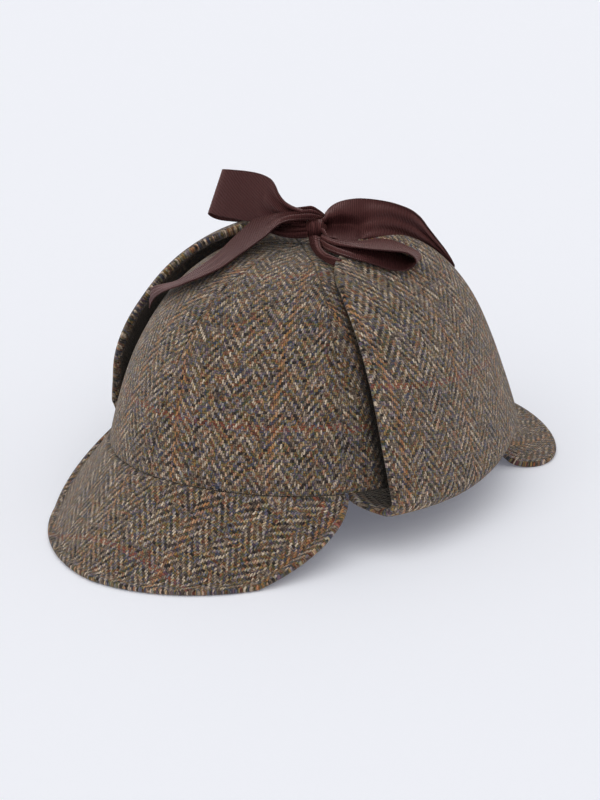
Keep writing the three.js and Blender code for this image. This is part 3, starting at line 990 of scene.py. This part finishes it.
loopLeftRows = [
    [(306, 222, 36), (308, 212, 39)],
    [(297, 224, 36.5), (298, 208.5, 41)],
    [(286, 225.5, 35), (291, 205.7, 41.5)],
    [(276, 225.5, 33), (284.3, 201, 41.5)],
    [(267, 224.8, 30.5), (279.3, 194, 40.8)],
    [(259, 223.5, 28), (275.5, 185.5, 39.5)],
    [(251, 222, 25), (270, 178.5, 36.5)],
    [(241, 220.2, 20.8), (260, 173.7, 31.5)],
    [(229, 218, 15.8), (247, 171, 26)],
    [(218, 215.6, 11), (233, 169.7, 20.5)],
    [(211, 213.3, 7.5), (225.3, 169.2, 16.8)],
    [(208.3, 214, 4.5), (222.8, 169.6, 13.5)],
    [(211.5, 217, 1.2), (225.5, 171.2, 10.2)],
    [(221, 220.2, 2.2), (236, 173, 11)],
    [(236, 221.9, 6), (252, 176, 14.5)],
    [(251, 222.8, 10), (266, 182, 18)],
    [(265, 223.3, 15), (276, 192, 22)],
    [(279, 223.3, 21), (284, 203, 26)],
    [(293, 223, 27.5), (294, 209, 30.5)],
    [(306, 222, 33), (307, 213, 35)],
]
loopRightRows = [
    [(322, 240.5, 45.5), (322, 236.5, 40.5)],
    [(330, 243.7, 51.5), (330, 239.3, 42)],
    [(340, 246, 57), (340, 241, 43)],
    [(350, 247.2, 61), (350.5, 241.5, 43)],
    [(360, 248.3, 64), (361, 240.3, 42.5)],
    [(370, 249.3, 65), (371, 238.6, 42)],
    [(380, 250.2, 65), (382, 238.8, 41)],
    [(390, 251, 64.5), (393, 240.8, 40.5)],
    [(400, 251.7, 63), (404, 245, 39.5)],
    [(408, 253.3, 61), (414, 249.8, 38)],
    [(414, 257.5, 58.5), (420.5, 254.5, 37)],
    [(415.8, 262, 56), (421.5, 258, 36)],
    [(412.5, 266.8, 56), (417, 257.5, 38)],
    [(405, 270.3, 57.5), (408, 253.5, 40.5)],
    [(395, 270.3, 60.5), (397, 250, 43.5)],
    [(385, 268, 63), (387, 246.5, 46)],
    [(375, 264.5, 64.5), (376, 244.5, 48.5)],
    [(365, 261.3, 65.3), (366, 244, 51.5)],
    [(355, 258.5, 65), (356, 244, 52)],
    [(345, 255.3, 63.8), (346, 243.5, 50)],
    [(335, 251.5, 58.5), (336, 242.5, 46.5)],
    [(327, 248, 52.5), (328, 241, 44)],
    [(320.5, 243.5, 46), (321.5, 239, 41.5)],
]
tieLeftRows = [
    [(312, 236, 41), (318, 236.5, 47)],
    [(312.3, 242, 41), (318, 243, 49)],
    [(314.5, 248.5, 43), (320, 249.5, 53)],
    [(319, 255, 48.5), (325, 254.5, 58)],
    [(326, 261, 56), (333, 257.5, 62)],
    [(334, 265, 61), (341, 260, 66)],
]
tieRightRows = [
    [(307, 236, 43), (307, 221, 38)],
    [(298, 236.8, 42), (298, 221, 35)],
    [(288, 236.3, 40), (288, 221, 30.5)],
    [(278, 234.5, 37), (278, 219, 25.5)],
    [(268, 231.5, 31.5), (267, 216, 19.5)],
    [(258, 228.5, 24.5), (258, 214, 13.5)],
]


def wave(share, folds):
    return math.sin(math.tau * folds * share)


def pleatHeight(wide, folds):  # how high the folds must stand for a gathered ribbon to keep its full width
    low, high = 0.0, ribbon["tallest"]
    steps = ribbon["foldSteps"]
    for _ in range(ribbon["halvings"]):
        tall = (low + high) / 2
        length = 0
        for step in range(steps):
            rise = tall * (wave((step + 1) / steps, folds) - wave(step / steps, folds))
            length += math.hypot(wide / steps, rise)
        if length < ribbon["wide"] * ribbon["fullness"]:
            low = tall
        else:
            high = tall
    return low


def ribbonGrid(rows, along):  # the rows, blended along the ribbon and then across it
    across = ribbon["across"]
    grid = []
    for row in range(along + 1):
        edges = [tuple(blendRows(points, row / along)) for points in zip(*rows)]
        grid.append([Vector(blendRows(edges, column / across)) for column in range(across + 1)])
    return grid


def addRibbon(name, rows, along, folds=3, loop=False):
    across = ribbon["across"]
    grid = ribbonGrid([[fromPicture(*point) for point in line] for line in rows], along)
    lengths = [0.0]
    for row in range(1, along + 1):
        step = sum((grid[row][place] - grid[row - 1][place]).length for place in (0, across // 2, across)) / 3
        lengths.append(lengths[-1] + step)
    points = []
    for row, line in enumerate(grid):
        before, after = grid[max(row - 1, 0)], grid[min(row + 1, along)]
        wide = sum((line[column + 1] - line[column]).length for column in range(across))
        fromKnot, toEnd = lengths[row], lengths[-1] - lengths[row]
        left = ribbon["pleatLeft"] * min(1, toEnd / ribbon["flatEnd"])
        if loop:  # both ends are at the knot
            fromKnot, left = min(fromKnot, toEnd), ribbon["pleatLeftInLoop"]
        gather = max(1 - fromKnot / ribbon["pleatFade"], left)
        tall = min(ribbon["pleatHeight"], pleatHeight(wide, folds)) * gather
        moved = []
        for column, point in enumerate(line):
            run = (after[column] - before[column]).normalized()
            side = line[min(column + 1, across)] - line[max(column - 1, 0)]
            normal = run.cross(side).normalized()
            moved.append(point + normal * tall * wave(column / across, folds))
        points.append(moved)

    def place(column, row):
        return points[row][column]

    def flatten(points):
        places = [(column / across - 0.5) * ribbon["wide"] for column in range(across + 1)]
        return [[(place, length) for place in places] for length in lengths]

    thickness = ribbon["thickness"]
    piece = addCloth(name + "_ribbon", across, along, place, thickness, offset=0, flatten=flatten, even=False)
    dress(piece, ribbonCloth, "ribbon", name)
    print(name, ribbon["wide"], "by", round(lengths[-1], 1), "mm")
    return piece


knot = {
    "at": (7.9, 1.4, 134.6),
    "turn": 33,  # direction of the bow's length, seen from above
    "length": 4.6,
    "depth": 5.0,
    "height": 5.4,
    "drum": 3.2,  # 2 is a ball, more is nearer to a drum
    "waist": 0.1,
    "pleat": 0.22,
    "pleats": 6,
    "around": 72,
    "along": 64,
    "stray": 1.1,  # how far the pleats stray from straight rings
    "strayStart": 0.7,
    "ribAlong": 0.3,  # how fast the ribbon's cloth runs round the knot
    "ribAcross": 0.9,
}


nearAxis = 1e-6


def addKnot():  # the ribbon wrapped round the middle, gathered into pleats
    bpy.ops.object.select_all(action="DESELECT")
    bpy.ops.mesh.primitive_uv_sphere_add(segments=knot["around"], ring_count=knot["along"], radius=1)
    piece = bpy.context.object
    piece.name = "bow_knot_wrap"
    piece.data.name = piece.name
    cloth = piece.data.uv_layers[0]
    cloth.name = "cloth"
    turn = math.radians(knot["turn"])
    alongBow = Vector((math.cos(turn), math.sin(turn), 0))
    acrossBow = Vector((-math.sin(turn), math.cos(turn), 0))
    flat = {}
    for vertex in piece.data.vertices:
        out, up, side = vertex.co.y, vertex.co.x, vertex.co.z
        square = 1 - abs(side) ** knot["drum"]
        radial = math.hypot(out, up)
        grow = square**0.5 / radial if radial > nearAxis else 0
        around = math.atan2(up, out)
        grow *= 1 - knot["waist"] * (1 - side * side)
        stray = math.sin(around * 2 + knot["strayStart"]) * knot["stray"]
        fold = knot["pleat"] * math.cos(side * math.pi * knot["pleats"] + stray) * min(1, square * 2)
        place = Vector(knot["at"]) + alongBow * side * knot["length"]
        place += acrossBow * out * grow * (knot["depth"] + fold)
        place += Vector((0, 0, 1)) * up * grow * (knot["height"] + fold)
        flat[vertex.index] = (side * knot["length"], around * knot["depth"])
        vertex.co = toFrame(*place)
    for loop in piece.data.loops:
        side, around = flat[loop.vertex_index]
        cloth.data[loop.index].uv = (abs(around) * knot["ribAlong"] * mm, side * knot["ribAcross"] * mm)
    bpy.ops.object.shade_smooth()
    dress(piece, ribbonCloth, "ribbon", "bow_knot")
    return piece


knotPiece = addKnot()
print("knot made")
addRibbon("bow_loop_left", loopLeftRows, 130, loop=True)
addRibbon("bow_loop_right", loopRightRows, 140, loop=True)
addRibbon("bow_tail_left", tailLeftRows, 110)
addRibbon("bow_tail_right", tailRightRows, 110)
addRibbon("flap_tie_left", tieLeftRows, 30, folds=4)
addRibbon("flap_tie_right", tieRightRows, 36, folds=4)
print("ribbons made")


# Floor and light.
stage = {
    "size": 12,  # metres
    "floor": (242, 243, 246),
    "roughness": 0.9,
    "specular": 0.1,
    "glow": (0.094, 0.099, 0.124),  # light that the floor gives off itself, which softens the shadow
    "world": 0.52,
    "worldColour": (0.98, 0.985, 1.0),
}
lamps = {
    "sun": {"energy": 1.3, "angle": 75, "comesFrom": (0.4, -0.8, 1.35), "diffuse": True},
    "shine": {"energy": 3.0, "angle": 60, "comesFrom": (-0.65, 0.76, 1.4), "diffuse": False},  # gloss alone
}


def addStage():
    bpy.ops.object.select_all(action="DESELECT")
    bpy.ops.mesh.primitive_plane_add(size=stage["size"])
    floor = bpy.context.object
    floor.name = "floor"
    g = Graph("floor")
    g.shader.inputs["Base Color"].default_value = tint(stage["floor"])
    g.shader.inputs["Roughness"].default_value = stage["roughness"]
    g.shader.inputs["Specular IOR Level"].default_value = stage["specular"]
    g.shader.inputs["Emission Color"].default_value = stage["glow"] + (1.0,)
    g.shader.inputs["Emission Strength"].default_value = 1.0
    floor.data.materials.append(g.material)
    world = bpy.data.worlds.new("world")
    world.use_nodes = True
    background = world.node_tree.nodes["Background"]
    background.inputs[0].default_value = stage["worldColour"] + (1.0,)
    background.inputs[1].default_value = stage["world"]
    bpy.context.scene.world = world
    for name, lamp in lamps.items():
        bpy.ops.object.light_add(type="SUN")
        sun = bpy.context.object
        sun.name = name
        sun.data.energy = lamp["energy"]
        sun.data.angle = math.radians(lamp["angle"])
        sun.rotation_euler = Vector(lamp["comesFrom"]).to_track_quat("Z", "Y").to_euler()
        sun.visible_diffuse = lamp["diffuse"]
    bpy.context.scene.view_settings.view_transform = "Standard"
    bpy.context.scene.view_settings.look = "None"


addStage()
print("stage made")
